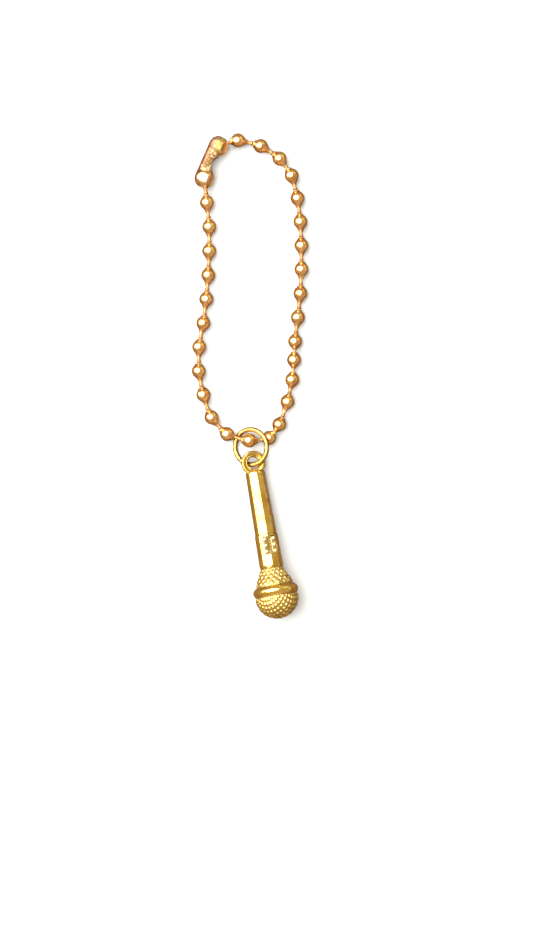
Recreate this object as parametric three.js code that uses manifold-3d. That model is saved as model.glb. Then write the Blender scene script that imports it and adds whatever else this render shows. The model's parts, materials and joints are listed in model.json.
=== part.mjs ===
// A gold-plated miniature microphone charm on a ball chain, lying flat on a table.
// Millimetres, +Z up. The chain loop runs away from the microphone along +Y.
// The microphone hangs by its eye on a round jump ring, the ring holds the chain,
// and a stamped clasp closes the chain. Each piece is a closed solid of its own.

import * as THREE from 'three';
import { mergeVertices } from 'three/addons/utils/BufferGeometryUtils.js';
import Module from 'manifold-3d';

const wasm = await Module();
wasm.setup();

// ---------- driving dimensions ----------

const fit = 0.05; // play between two pieces that are assembled into each other

const bead = { radius: 1.2, wall: 0.22, hole: 0.42, sides: 10 };
const link = { shank: 0.28, head: 0.46, headFront: 0.58, headBack: 0.84, pitch: 4.1, sides: 6 };
const hingeFromBead = 1.0; // from a bead's centre to the middle of its hole, where a link swings
const holeTowardsNext = 0.7; // how far a bead's hole turns from its own link to the next one

const ring = { meanRadius: 3.0, wire: 0.8, tilt: rad(26), cut: rad(232), cutGap: 0.12 };

const clasp = { cupRadius: 1.7, wall: 0.25, cupSpacing: 6.0, waistRadius: 1.25, slot: 1.1, notch: 1.3 };
const claspHeading = rad(66.3);

// Stations along the microphone's axis, measured from the centre of its eye towards the head.
const eye = { radius: 2.1, hole: 1.02, thickness: 0.7, chamfer: 0.15 };
const tailPlug = { capLength: 1.1, plugLength: 1.3 }; // outside and inside the handle tube's end
const handle = { start: 2.45, end: 12.35, tailRadius: 1.66, headRadius: 1.83, wall: 0.35 };
const collar = { end: 18.2, tailRadius: 1.93, headRadius: 2.0, innerRadius: 1.3 };
const neck = { end: 21.05, tailRadius: 2.05, headRadius: 3.2, wall: 0.35 };
const belt = { end: 22.9, radius: 3.9, innerRadius: 2.9 };
const ball = { radius: 3.65, centre: 23.1, wall: 0.35 };
const stud = { radius: 0.35, tailEnd: 2.5, headEnd: 22.2 };
const hub = { radius: 2.75, start: 21.2, end: 22.8 };
const pocket = { width: 2.0, length: 3.0, centre: 14.3, depth: 0.35 };
const switchBump = { radius: 0.2, rise: 0.3, columns: 2, rows: 3, acrossColumns: 1.5, alongRows: 1.05 };

const micHeading = rad(-80.1); // the head points away from the chain, a little to the right
const micRoll = rad(15); // the switch side leans to the right

// Heights above the table.
const ringCentreHeight = ring.meanRadius * Math.sin(ring.tilt) + ring.wire / 2;
const chainHeight = bead.radius;
const ringBeadHeight = 1.75; // the bead in the ring is lifted by the ring's low side
const claspNeighbourHeight = 1.4; // the beads next to the clasp are lifted by its thicker body
const micPitch = Math.asin((belt.radius - ringCentreHeight) / ((neck.end + belt.end) / 2));

// Where things lie on the table, as (x, y).
const eyePlace = [0.42, -14.74];
const ringLowPlace = [0.52, -14.98]; // where the ring's low side passes through the eye
const ringBeadPlace = [-0.3, -10.9];

// The chain's route on each side of the bead in the ring, from that bead to the clasp.
const rightRoute = [
  ringBeadPlace, [3.0, -10.5], [4.8, -8.2], [6.2, -4.3], [7.1, 0.0], [7.5, 5.9], [8.4, 14.1],
  [8.6, 20.0], [8.4, 26.4], [7.9, 30.4], [6.9, 34.2], [4.8, 37.1], [1.6, 39.2], [-2.3, 40.1], [-5.4, 39.1],
];
const leftRoute = [
  ringBeadPlace, [-4.1, -9.8], [-6.7, -7.0], [-8.1, -3.1], [-8.9, 1.0], [-8.8, 5.1],
  [-8.1, 9.0], [-7.4, 15.2], [-7.1, 21.4], [-7.1, 25.6], [-7.5, 29.6], [-7.9, 33.7], [-8.1, 36.0],
];
const rightCount = 16;
const leftCount = 12;
// Beads that have slid towards the one before them: position from the ring, and how far.
const rightSlack = new Map([
  [1, 0.7], [2, 1.25], [4, 0.26], [5, 0.73], [6, 0.95],
  [10, 0.05], [11, 0.07], [12, 0.07], [13, 0.14], [14, 0.55], [15, 0.25], [16, 0.12],
]);
const leftSlack = new Map([[1, 0.2], [2, 0.22]]);

// ---------- finishes ----------

const chainGold = { color: 0xd89a4e, roughness: 0.22, metalness: 1 };
const claspGold = { color: 0xd29a5c, roughness: 0.28, metalness: 1 };
const microphoneGold = { color: 0xc9a03a, roughness: 0.25, metalness: 1 };
const studBrass = { color: 0xb08d3c, roughness: 0.5, metalness: 1 };

// ---------- small helpers ----------

function rad(degrees) {
  return (degrees * Math.PI) / 180;
}

function vec(x, y, z) {
  return new THREE.Vector3(x, y, z);
}

/** Points of an arc in a lathe profile, from one angle to another, as (radius, height). */
function arc(radius, height, from, to, steps) {
  const points = [];
  for (let i = 0; i <= steps; i += 1) {
    const angle = from + ((to - from) * i) / steps;
    points.push([radius * Math.cos(angle), height + radius * Math.sin(angle)]);
  }
  return points;
}

/** A body turned about the Y axis from a profile of (radius, height) points. */
function turned(profile, sides) {
  const points = profile.map(([r, y]) => new THREE.Vector2(Math.abs(r) < 1e-9 ? 0 : r, y));
  return new THREE.LatheGeometry(points, sides);
}

/** A tube turned about the Y axis: the profile closes on itself. */
function turnedTube(profile, sides) {
  return turned([...profile, profile[0]], sides);
}

/** A manifold solid from a closed three.js geometry, with its faces turned outwards. */
function solid(geometry) {
  const bare = geometry.clone();
  bare.deleteAttribute('normal');
  bare.deleteAttribute('uv');
  const merged = mergeVertices(bare, 1e-5);
  const corners = merged.index.array;
  const triangles = [];
  for (let i = 0; i < corners.length; i += 3) {
    const [a, b, c] = [corners[i], corners[i + 1], corners[i + 2]];
    if (a !== b && b !== c && c !== a) triangles.push(a, b, c);
  }
  if (signedVolume(merged.attributes.position, triangles) < 0) triangles.reverse();
  return new wasm.Manifold(new wasm.Mesh({
    numProp: 3,
    vertProperties: new Float32Array(merged.attributes.position.array),
    triVerts: new Uint32Array(triangles),
  }));
}

function signedVolume(position, triangles) {
  const [a, b, c] = [vec(0, 0, 0), vec(0, 0, 0), vec(0, 0, 0)];
  let six = 0;
  for (let i = 0; i < triangles.length; i += 3) {
    a.fromBufferAttribute(position, triangles[i]);
    b.fromBufferAttribute(position, triangles[i + 1]);
    c.fromBufferAttribute(position, triangles[i + 2]);
    six += a.dot(b.cross(c));
  }
  return six / 6;
}

/** A named mesh of a manifold solid or a closed geometry. */
function piece(name, body, finish) {
  const mesh = (body.getMesh ? body : solid(body)).getMesh();
  const geometry = new THREE.BufferGeometry();
  geometry.setAttribute('position', new THREE.BufferAttribute(mesh.vertProperties, 3));
  geometry.setIndex(new THREE.BufferAttribute(mesh.triVerts, 1));
  geometry.computeVertexNormals();
  const made = new THREE.Mesh(geometry, new THREE.MeshStandardMaterial(finish));
  made.name = name;
  return made;
}

// ---------- microphone, along +Y from the eye, switch side towards +Z ----------

function tailCap() {
  const half = eye.thickness / 2;
  const plate = turned([
    [0, -half],
    [eye.radius - eye.chamfer, -half],
    [eye.radius, -half + eye.chamfer],
    [eye.radius, half - eye.chamfer],
    [eye.radius - eye.chamfer, half],
    [0, half],
  ], 28).rotateX(Math.PI / 2);
  const bore = turned([
    [0, -half - fit],
    [eye.hole + eye.chamfer + fit, -half - fit],
    [eye.hole, -half + eye.chamfer],
    [eye.hole, half - eye.chamfer],
    [eye.hole + eye.chamfer + fit, half + fit],
    [0, half + fit],
  ], 24).rotateX(Math.PI / 2);
  const shoulder = 0.45;
  const capStart = handle.start - tailPlug.capLength;
  const plug = handle.tailRadius - handle.wall - fit;
  const plugEnd = handle.start + tailPlug.plugLength;
  const rounding = arc(shoulder, capStart + shoulder, -Math.PI / 2, 0, 3)
    .map(([r, y]) => [r + handle.tailRadius - shoulder, y]);
  const cap = turned([
    [0, capStart],
    [handle.tailRadius - shoulder, capStart],
    ...rounding,
    [handle.tailRadius, handle.start - fit],
    [plug, handle.start - fit],
    [plug, plugEnd],
    [0, plugEnd],
  ], 28);
  const studHole = turned([
    [0, stud.tailEnd - fit],
    [stud.radius + fit, stud.tailEnd - fit],
    [stud.radius + fit, plugEnd + 1],
    [0, plugEnd + 1],
  ], 12);
  return solid(plate).add(solid(cap)).subtract(solid(bore)).subtract(solid(studHole));
}

function handleTube() {
  const edge = 0.08;
  return turnedTube([
    [handle.tailRadius - handle.wall, handle.start],
    [handle.tailRadius - edge, handle.start],
    [handle.tailRadius, handle.start + edge],
    [handle.headRadius, handle.end - edge],
    [handle.headRadius - edge, handle.end],
    [handle.tailRadius - handle.wall, handle.end],
  ], 24);
}

function collarBand() {
  const start = handle.end + fit;
  const step = 0.12;
  const band = turnedTube([
    [collar.innerRadius, start],
    [collar.tailRadius - step, start],
    [collar.tailRadius, start + step],
    [collar.headRadius, collar.end - step],
    [collar.headRadius - step, collar.end],
    [collar.innerRadius, collar.end],
  ], 28);
  const cutHeight = 2;
  const window = new THREE.BoxGeometry(pocket.width, pocket.length, cutHeight);
  window.translate(0, pocket.centre, collar.tailRadius - pocket.depth + cutHeight / 2);
  return solid(band).subtract(solid(window));
}

/** The slider plate in the collar's pocket, with two columns of raised bumps. */
function switchPlate() {
  const base = collar.tailRadius - pocket.depth + fit;
  const thickness = 0.18;
  const plate = new THREE.BoxGeometry(pocket.width - 2 * fit, pocket.length - 2 * fit, thickness);
  plate.translate(0, pocket.centre, base + thickness / 2);
  let body = solid(plate);
  for (let column = 0; column < switchBump.columns; column += 1) {
    for (let row = 0; row < switchBump.rows; row += 1) {
      const bump = turned([
        [0, 0],
        [switchBump.radius, 0],
        [switchBump.radius, switchBump.rise * 0.6],
        [0, switchBump.rise],
      ], 8).rotateX(Math.PI / 2);
      const x = (column - (switchBump.columns - 1) / 2) * switchBump.acrossColumns;
      const y = pocket.centre + (row - (switchBump.rows - 1) / 2) * switchBump.alongRows;
      bump.translate(x, y, base + thickness / 2);
      body = body.add(solid(bump));
    }
  }
  return body;
}

function neckGrille() {
  const start = collar.end + fit;
  const length = neck.end - start;
  const outer = [];
  const steps = 4;
  for (let i = 0; i <= steps; i += 1) {
    const t = i / steps;
    const flare = t * t * (3 - 2 * t) * 0.5 + t * 0.5;
    outer.push([neck.tailRadius + (neck.headRadius - neck.tailRadius) * flare, start + length * t]);
  }
  const inner = outer.map(([r, y]) => [r - neck.wall, y]).reverse();
  return turnedTube([...outer, ...inner], 28);
}

function beltRing() {
  const start = neck.end + fit;
  const crest = (start + belt.end) / 2;
  const round = { drop: 0.08, along: 0.3 }; // the crest's rounding, to each side of it
  const edgeDrop = { neckSide: 0.5, ballSide: 0.35 };
  return turnedTube([
    [belt.innerRadius, start],
    [belt.radius - edgeDrop.neckSide, start],
    [belt.radius - round.drop, crest - round.along],
    [belt.radius, crest],
    [belt.radius - round.drop, crest + round.along],
    [belt.radius - edgeDrop.ballSide, belt.end],
    [belt.innerRadius, belt.end],
  ], 32);
}

function ballGrille() {
  const start = belt.end + fit;
  const innerRadius = ball.radius - ball.wall;
  const from = (radius) => Math.asin((start - ball.centre) / radius);
  const outer = arc(ball.radius, ball.centre, from(ball.radius), Math.PI / 2, 9);
  const inner = arc(innerRadius, ball.centre, Math.PI / 2, from(innerRadius), 5);
  return turned([...inner, ...outer], 28);
}

function tieStud() {
  return turned([
    [0, stud.tailEnd], [stud.radius, stud.tailEnd], [stud.radius, stud.headEnd], [0, stud.headEnd],
  ], 12);
}

/** The disc inside the belt ring that the tie stud is fixed in. */
function headHub() {
  const disc = turned([[0, hub.start], [hub.radius, hub.start], [hub.radius, hub.end], [0, hub.end]], 24);
  const bore = turned([
    [0, hub.start - 1],
    [stud.radius + fit, hub.start - 1],
    [stud.radius + fit, stud.headEnd + fit],
    [0, stud.headEnd + fit],
  ], 12);
  return solid(disc).subtract(solid(bore));
}

function microphone() {
  const group = new THREE.Group();
  group.add(
    piece('tail_cap', tailCap(), microphoneGold),
    piece('handle_tube', handleTube(), microphoneGold),
    piece('collar', collarBand(), microphoneGold),
    piece('switch_plate', switchPlate(), microphoneGold),
    piece('neck_grille', neckGrille(), microphoneGold),
    piece('belt_ring', beltRing(), microphoneGold),
    piece('ball_grille', ballGrille(), microphoneGold),
    piece('tie_stud', tieStud(), studBrass),
    piece('head_hub', headHub(), studBrass),
  );
  const along = vec(
    Math.cos(micPitch) * Math.cos(micHeading),
    Math.cos(micPitch) * Math.sin(micHeading),
    Math.sin(micPitch),
  );
  const level = along.clone().cross(vec(0, 0, 1)).normalize();
  const across = level.applyAxisAngle(along, -micRoll);
  const face = across.clone().cross(along);
  group.quaternion.setFromRotationMatrix(new THREE.Matrix4().makeBasis(across, along, face));
  group.position.set(...eyePlace, ringCentreHeight);
  return group;
}

// ---------- jump ring ----------

/** The ring's centre line, once round from one face of its cut to the other. */
class RingCurve extends THREE.Curve {
  getPoint(t, target = new THREE.Vector3()) {
    const halfGap = ring.cutGap / 2 / ring.meanRadius;
    const angle = ring.cut + halfGap + t * (2 * Math.PI - 2 * halfGap);
    const { meanRadius } = ring;
    // The origin is the ring's low side, and the rest of the ring lies beyond it.
    return target.set(meanRadius * Math.sin(angle), meanRadius * (1 + Math.cos(angle)), 0);
  }
}

function jumpRing() {
  const sides = 8;
  const section = new THREE.Shape();
  for (let i = 0; i < sides; i += 1) {
    const angle = ((i + 0.5) * 2 * Math.PI) / sides;
    const point = [(ring.wire / 2) * Math.cos(angle), (ring.wire / 2) * Math.sin(angle)];
    if (i === 0) section.moveTo(...point);
    else section.lineTo(...point);
  }
  section.closePath();
  const body = new THREE.ExtrudeGeometry(section, { steps: 30, extrudePath: new RingCurve() });
  const made = piece('jump_ring', body, microphoneGold);
  const away = vec(-Math.cos(micHeading), -Math.sin(micHeading), 0);
  const right = vec(away.y, -away.x, 0);
  const across = right.multiplyScalar(Math.cos(ring.tilt)).add(vec(0, 0, Math.sin(ring.tilt)));
  const normal = across.clone().cross(away);
  made.quaternion.setFromRotationMatrix(new THREE.Matrix4().makeBasis(across, away, normal));
  made.position.set(...ringLowPlace, ringCentreHeight);
  return made;
}

// ---------- ball chain ----------

/** A hollow bead with its hole towards +Y. */
function openBead() {
  const innerRadius = bead.radius - bead.wall;
  const hole = (radius) => Math.acos(bead.hole / radius);
  const inner = arc(innerRadius, 0, -Math.PI / 2, hole(innerRadius), 3);
  const outer = arc(bead.radius, 0, hole(bead.radius), -Math.PI / 2, 5);
  return turned([...inner, ...outer], bead.sides);
}

/** A hollow bead with a hole at both ends of its Y axis. */
function throughBead() {
  const innerRadius = bead.radius - bead.wall;
  const hole = (radius) => Math.acos(bead.hole / radius);
  const inner = arc(innerRadius, 0, -hole(innerRadius), hole(innerRadius), 4);
  const outer = arc(bead.radius, 0, hole(bead.radius), -hole(bead.radius), 6);
  return turnedTube([...inner, ...outer], bead.sides);
}

/** A link along +Y from its button head, which sits in the bead before it, to a given end. */
function linkPin(end) {
  return turned([
    [0, -link.headBack],
    [link.head * 0.7, -link.headBack],
    [link.head, (-link.headBack - link.headFront) / 2],
    [link.head, -link.headFront],
    [link.shank, -link.headFront + 0.12],
    [link.shank, end],
    [0, end],
  ], link.sides);
}

/** A plain round bar between two points, with the link's diameter. */
function bar(from, to) {
  const length = from.distanceTo(to);
  const body = new THREE.CylinderGeometry(link.shank, link.shank, length, link.sides);
  body.applyQuaternion(turnFromY(to.clone().sub(from).normalize()));
  return body.translate(...from.clone().add(to).multiplyScalar(0.5));
}

function turnFromY(direction) {
  return new THREE.Quaternion().setFromUnitVectors(vec(0, 1, 0), direction);
}

/** Bead centres along a route, one pitch apart less each bead's slack, with the last beads' heights. */
function beadsAlong(route, count, slack, lastHeights) {
  const curve = new THREE.CatmullRomCurve3(route.map(([x, y]) => vec(x, y, 0)), false, 'centripetal');
  const sampleCount = 4000;
  const samples = curve.getSpacedPoints(sampleCount);
  const centres = [samples[0].clone()];
  let at = 0;
  for (let i = 1; i <= count; i += 1) {
    const reach = link.pitch - (slack.get(i) ?? 0);
    while (at < samples.length - 1 && samples[at].distanceTo(centres[i - 1]) < reach) at += 1;
    centres.push(samples[at].clone());
  }
  centres.forEach((centre, i) => {
    centre.z = i === 0 ? ringBeadHeight : (lastHeights[count - i] ?? chainHeight);
  });
  return centres;
}

/** The way a bead's hole faces: between its own link and the next one, by the next one's share. */
function holeDirection(before, here, after, share = holeTowardsNext) {
  const own = here.clone().sub(before).normalize().multiplyScalar(1 - share);
  return own.add(after.clone().sub(here).normalize().multiplyScalar(share)).normalize();
}

/**
 * One side of the chain. Each piece is a bead with the link that ties it to the bead before it.
 * Its origin is the middle of that bead's hole, where the link swings.
 */
function chainSide(centres, firstHole, afterLast, nameOf) {
  const made = [];
  let holeWay = firstHole;
  for (let i = 1; i < centres.length; i += 1) {
    const pivot = centres[i - 1].clone().addScaledVector(holeWay, hingeFromBead);
    const reach = centres[i].distanceTo(pivot);
    const turn = turnFromY(centres[i].clone().sub(pivot).normalize());
    holeWay = holeDirection(centres[i - 1], centres[i], centres[i + 1] ?? afterLast);
    const localHole = holeWay.clone().applyQuaternion(turn.clone().invert());
    const shell = openBead().applyQuaternion(turnFromY(localHole)).translate(0, reach, 0);
    const pin = linkPin(reach - bead.radius + bead.wall / 2);
    const unit = piece(nameOf(i), solid(pin).add(solid(shell)), chainGold);
    unit.position.copy(pivot);
    unit.quaternion.copy(turn);
    made.push(unit);
  }
  return made;
}

/** The clasp, along +Y from its lower cup to its upper one, open towards +X. */
function claspShell() {
  const { cupRadius, wall, cupSpacing, waistRadius, slot, notch } = clasp;
  const waistCentre = waistRadius - cupRadius;
  const body = (cup, waist) => {
    const lower = new THREE.SphereGeometry(cup, 14, 8);
    const upper = new THREE.SphereGeometry(cup, 14, 8).translate(0, cupSpacing, 0);
    const channel = new THREE.CylinderGeometry(waist, waist, cupSpacing, 16);
    channel.translate(waistCentre, cupSpacing / 2, 0);
    return solid(lower).add(solid(upper)).add(solid(channel));
  };
  const slotReach = 4; // the slot is cut from just behind the axis out past the open side
  const slotBehindAxis = wall + 0.2;
  const slotBox = new THREE.BoxGeometry(slotReach, cupSpacing + 4 * cupRadius, slot);
  slotBox.translate(slotReach / 2 - slotBehindAxis, cupSpacing / 2, 0);
  const waistCut = new THREE.CylinderGeometry(notch, notch, 3 * cupRadius, 20).rotateX(Math.PI / 2);
  waistCut.translate(notch + fit, cupSpacing / 2, 0);
  return body(cupRadius, waistRadius)
    .subtract(body(cupRadius - wall, waistRadius - wall))
    .subtract(solid(slotBox))
    .subtract(solid(waistCut));
}

function ballChain() {
  const group = new THREE.Group();
  const number = (i) => `chain_${String(i).padStart(2, '0')}`;

  const left = beadsAlong(leftRoute, leftCount, leftSlack, [clasp.cupRadius, claspNeighbourHeight]);
  const lowerCup = left[leftCount];
  const upwards = vec(Math.cos(claspHeading), Math.sin(claspHeading), 0);
  const upperCup = lowerCup.clone().addScaledVector(upwards, clasp.cupSpacing);
  const right = beadsAlong(rightRoute, rightCount, rightSlack, [claspNeighbourHeight]);

  const ringBeadWay = holeDirection(right[1], left[0], left[1], 0.5);
  const ringBeadNumber = rightCount + 1;
  const ringBead = piece(number(ringBeadNumber), solid(throughBead()), chainGold);
  ringBead.position.copy(left[0]);
  ringBead.quaternion.copy(turnFromY(ringBeadWay));

  const rightWay = ringBeadWay.clone().negate();
  const rightSide = chainSide(right, rightWay, upperCup, (i) => number(ringBeadNumber - i));
  const leftSide = chainSide(left, ringBeadWay, upperCup, (i) => number(ringBeadNumber + i));

  // The last bead on the right also carries the link into the clasp, which stops short of the bead there.
  const lastRight = rightSide[rightCount - 1];
  const turnBack = lastRight.quaternion.clone().invert();
  const toLocal = (point) => point.clone().sub(lastRight.position).applyQuaternion(turnBack);
  const intoClasp = upperCup.clone().sub(right[rightCount]).normalize();
  const linkStart = right[rightCount].clone().addScaledVector(intoClasp, bead.radius - bead.wall);
  const linkEnd = upperCup.clone().addScaledVector(intoClasp, -bead.radius - 2 * fit);
  const closed = solid(lastRight.geometry).add(solid(bar(toLocal(linkStart), toLocal(linkEnd))));
  const chain01 = piece(lastRight.name, closed, chainGold);
  chain01.position.copy(lastRight.position);
  chain01.quaternion.copy(lastRight.quaternion);
  rightSide[rightCount - 1] = chain01;

  const shell = piece('clasp', claspShell(), claspGold);
  shell.position.copy(lowerCup);
  shell.rotation.z = claspHeading - Math.PI / 2;
  const claspBead = piece('clasp_bead', solid(openBead()), chainGold);
  claspBead.position.copy(upperCup);
  claspBead.quaternion.copy(turnFromY(intoClasp.clone().negate()));

  group.add(ringBead, ...rightSide, ...leftSide, shell, claspBead);
  return group;
}

// ---------- assembly ----------

const charm = new THREE.Group();
charm.add(microphone(), jumpRing(), ballChain());

// The origin is the middle of the object's box on the table.
charm.updateMatrixWorld(true);
const extent = new THREE.Box3().setFromObject(charm, true);
const middle = extent.getCenter(new THREE.Vector3());
charm.position.set(-middle.x, -middle.y, -extent.min.z);

export default charm;
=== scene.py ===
import json
import math
import random
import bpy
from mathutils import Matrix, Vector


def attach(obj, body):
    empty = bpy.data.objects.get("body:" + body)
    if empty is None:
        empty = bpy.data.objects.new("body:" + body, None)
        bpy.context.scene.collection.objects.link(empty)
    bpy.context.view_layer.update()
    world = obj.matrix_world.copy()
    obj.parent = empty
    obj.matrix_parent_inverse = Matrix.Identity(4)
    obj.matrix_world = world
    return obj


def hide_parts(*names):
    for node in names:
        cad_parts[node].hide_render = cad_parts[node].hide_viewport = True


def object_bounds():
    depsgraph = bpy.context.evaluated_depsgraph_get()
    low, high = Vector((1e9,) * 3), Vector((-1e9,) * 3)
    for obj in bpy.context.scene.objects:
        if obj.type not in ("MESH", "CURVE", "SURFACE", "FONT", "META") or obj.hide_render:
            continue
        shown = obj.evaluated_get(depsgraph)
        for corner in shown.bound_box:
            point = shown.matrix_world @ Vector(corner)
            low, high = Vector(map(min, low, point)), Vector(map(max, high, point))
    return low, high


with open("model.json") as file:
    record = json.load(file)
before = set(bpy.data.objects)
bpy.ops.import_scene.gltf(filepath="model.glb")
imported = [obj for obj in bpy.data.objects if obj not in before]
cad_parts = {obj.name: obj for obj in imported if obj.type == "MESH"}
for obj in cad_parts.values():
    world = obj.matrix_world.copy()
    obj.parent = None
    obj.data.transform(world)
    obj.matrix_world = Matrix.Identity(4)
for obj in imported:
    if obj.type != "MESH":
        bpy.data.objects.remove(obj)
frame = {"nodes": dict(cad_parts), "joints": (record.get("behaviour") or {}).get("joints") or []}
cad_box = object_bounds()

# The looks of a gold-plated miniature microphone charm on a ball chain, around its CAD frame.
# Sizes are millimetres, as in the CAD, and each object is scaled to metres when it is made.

from types import SimpleNamespace as Sizes

import bmesh
import bpy
import numpy as np
from mathutils import Matrix, Vector

MM = 0.001
rad = math.radians

# ---------- driving dimensions: the main ones as in the CAD, and finer ones of the looks ----------

bead = Sizes(radius=1.2, wall=0.22, hole=0.42, columns=40, dent=0.012, seam_depth=0.02, seam_width=0.03)
lip = Sizes(start=rad(45), far_reach=1.32, near_reach=1.92, ring_reach=1.5, least=1.24, gap=0.3,
            far_radius=0.51, near_radius=0.35, near_hole=0.3, flare=0.04, hollow=0.9)
link = Sizes(shank=0.27, head=0.46, head_front=0.58, head_back=0.84,
             inner_head=0.42, inner_head_front=0.42, inner_head_back=0.72,
             collar=0.43, ring_collar=0.34, collar_start=0.38, collar_crest=0.58, least_waist=0.7)
hole_towards_next = 0.7  # how far a bead's hole turns from its own link's line to the next link's
ring_bead_number, last_bead_number = 17, 29
beside_ring = (ring_bead_number - 1, ring_bead_number + 1)
stub_start = 0.4  # where the last link starts, from its bead's centre

ring = Sizes(mean_radius=3.0, wire=0.8, tilt=rad(26), cut=rad(232), cut_gap=0.1, bevel=0.05, bend=0.012)
ring_from_eye = Vector((0.10, -0.24, 0))

clasp = Sizes(cup=1.7, height=1.66, wall=0.25, cup_spacing=6.0, waist=1.25, slot=1.1, notch=1.3,
              squareness=2.6, top_plane=1.54, side_plane=1.5, pin_hole=0.17, pin_hole_along=4.0,
              press_round=0.12, top_round=0.06, side_round=0.05, edge_round=0.07, slot_round=0.2,
              end_hole=0.45, end_hole_flare=0.95, end_row=rad(15.5), steepest=2.2)
clasp_heading = rad(66.3)

eye = Sizes(radius=2.1, hole=1.0, rim=0.36, groove=0.3, groove_place=0.36, groove_width=0.12,
            outer_squareness=7, hole_squareness=3)
tail = Sizes(cap=1.1, shoulder=0.75, shoulder_depth=0.3, lip=0.07, seam=0.02, plug=1.3, edge=0.2)
handle = Sizes(start=2.45, end=12.35, tail_radius=1.66, head_radius=1.83, wall=0.35, edge=0.06)
collar = Sizes(start=12.4, end=18.2, tail_radius=1.93, head_radius=2.0, inner_radius=1.3, edge=0.1,
               lead_in=0.12, lead_in_depth=0.04, taper=0.5, taper_depth=0.12)
neck = Sizes(start=18.25, end=21.05, tail_radius=2.05, head_radius=3.2, wall=0.35)
belt = Sizes(start=21.1, end=22.9, radius=3.9, inner_radius=2.9, edge=0.3,
             neck_slope=0.48, neck_slope_drop=0.22, neck_edge_drop=0.68,
             ball_slope=0.52, ball_slope_drop=0.18, ball_edge_drop=0.46)
ball = Sizes(start=22.95, radius=3.65, centre=23.1, wall=0.35)
stud = Sizes(radius=0.35, tail_end=2.5)
pocket = Sizes(width=2.3, length=3.1, centre=14.3, depth=0.45, wall=0.06)
slider = Sizes(thickness=0.18, half_width=0.38, half_length=1.25, soft=0.1, sunk=0.08,
               ridge=0.015, ridge_pitch=0.5)
bump = Sizes(radius=0.34, wall=0.14, dome=0.1, across=1.5, along=1.05)
fit = 0.05
grille = Sizes(pitch=0.84, stud=0.4, relief=0.14, around=16, neck_sunk=0.7, ball_sunk=0.8)
smooth_below = rad(50)  # edges with a sharper turn than this stay sharp

mic_heading = rad(-80.1)
mic_roll = rad(15)
ring_centre_height = ring.mean_radius * math.sin(ring.tilt) + ring.wire / 2
mic_pitch = math.asin((belt.radius - ring_centre_height) / ((neck.end + belt.end) / 2))

# ---------- where things are, from the frame ----------

UP = Vector((0, 0, 1))
hinge_of = {joint["child"]: np.array(joint["pos_m"]) / MM for joint in frame["joints"]}


def placed(across, along, face, origin):
    """The place of a piece: its own X, Y and Z in the frame, and its origin in millimetres."""
    turn = Matrix((across, along, face)).transposed().to_4x4()
    return Matrix.Translation(Vector(origin) * MM) @ turn


def microphone_place():
    """From the eye's centre along the microphone, with the switch side as Z."""
    along = Vector((
        math.cos(mic_pitch) * math.cos(mic_heading),
        math.cos(mic_pitch) * math.sin(mic_heading),
        math.sin(mic_pitch),
    ))
    level = along.cross(UP).normalized()
    across = Matrix.Rotation(-mic_roll, 3, along) @ level
    return placed(across, along, across.cross(along), Vector(hinge_of["jump_ring"]) - ring_from_eye)


def ring_place():
    """The ring's plane, tilted about the line away from the microphone."""
    away = Vector((-math.cos(mic_heading), -math.sin(mic_heading), 0))
    right = Vector((away.y, -away.x, 0))
    across = right * math.cos(ring.tilt) + UP * math.sin(ring.tilt)
    return placed(across, away, across.cross(away), hinge_of["jump_ring"])


def clasp_place():
    """From the lower cup's centre towards the upper cup, with the open side as X."""
    along = Vector((math.cos(clasp_heading), math.sin(clasp_heading), 0))
    return placed(along.cross(UP), along, UP, hinge_of["clasp"])


def node_points(name):
    mesh = frame["nodes"][name].data
    flat = np.zeros(len(mesh.vertices) * 3)
    mesh.vertices.foreach_get("co", flat)
    return flat.reshape(-1, 3) / MM


def unit(vector):
    return vector / np.linalg.norm(vector)


def bead_centre(name, near):
    """The centre of a CAD bead: the sphere of the bead's radius that its skin lies on."""
    points = node_points(name)
    link_reach = bead.radius + 0.5
    centre = points[np.linalg.norm(points - near, axis=1) > link_reach].mean(axis=0)
    # Each pass fits the sphere to the points that are still closer to it.
    for slack in (0.6, 0.4, 0.3, 0.2, 0.1, 0.05, 0.03, 0.03):
        distance = np.linalg.norm(points - centre, axis=1)
        skin = points[abs(distance - bead.radius) < slack]
        for _ in range(4):
            way = skin - centre
            length = np.linalg.norm(way, axis=1)
            step = np.linalg.lstsq(way / length[:, None], length - bead.radius, rcond=None)[0]
            centre = centre + step
    return centre


# ---------- mesh helpers ----------

def lathe(profile, angles):
    """A surface turned about Y: a row for each (radius, height), a column for each angle from Z."""
    radius, height = np.array(profile, float).T
    x = radius[:, None] * np.sin(angles)[None, :]
    z = radius[:, None] * np.cos(angles)[None, :]
    y = np.repeat(height[:, None], len(angles), axis=1)
    return np.stack([x, y, z], axis=-1)


def all_round(count):
    return np.arange(count) * 2 * math.pi / count


def arc(radius, height, start, end, steps):
    """Profile points of an arc about a point on the axis, by angle above the XZ plane."""
    angles = np.linspace(start, end, steps + 1)
    return [(radius * math.cos(a), height + radius * math.sin(a)) for a in angles]


def bent(first, middle, last, t):
    """A point on the curve from the first point to the last, drawn towards the middle one."""
    return (1 - t) ** 2 * first + 2 * t * (1 - t) * middle + t ** 2 * last


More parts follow.
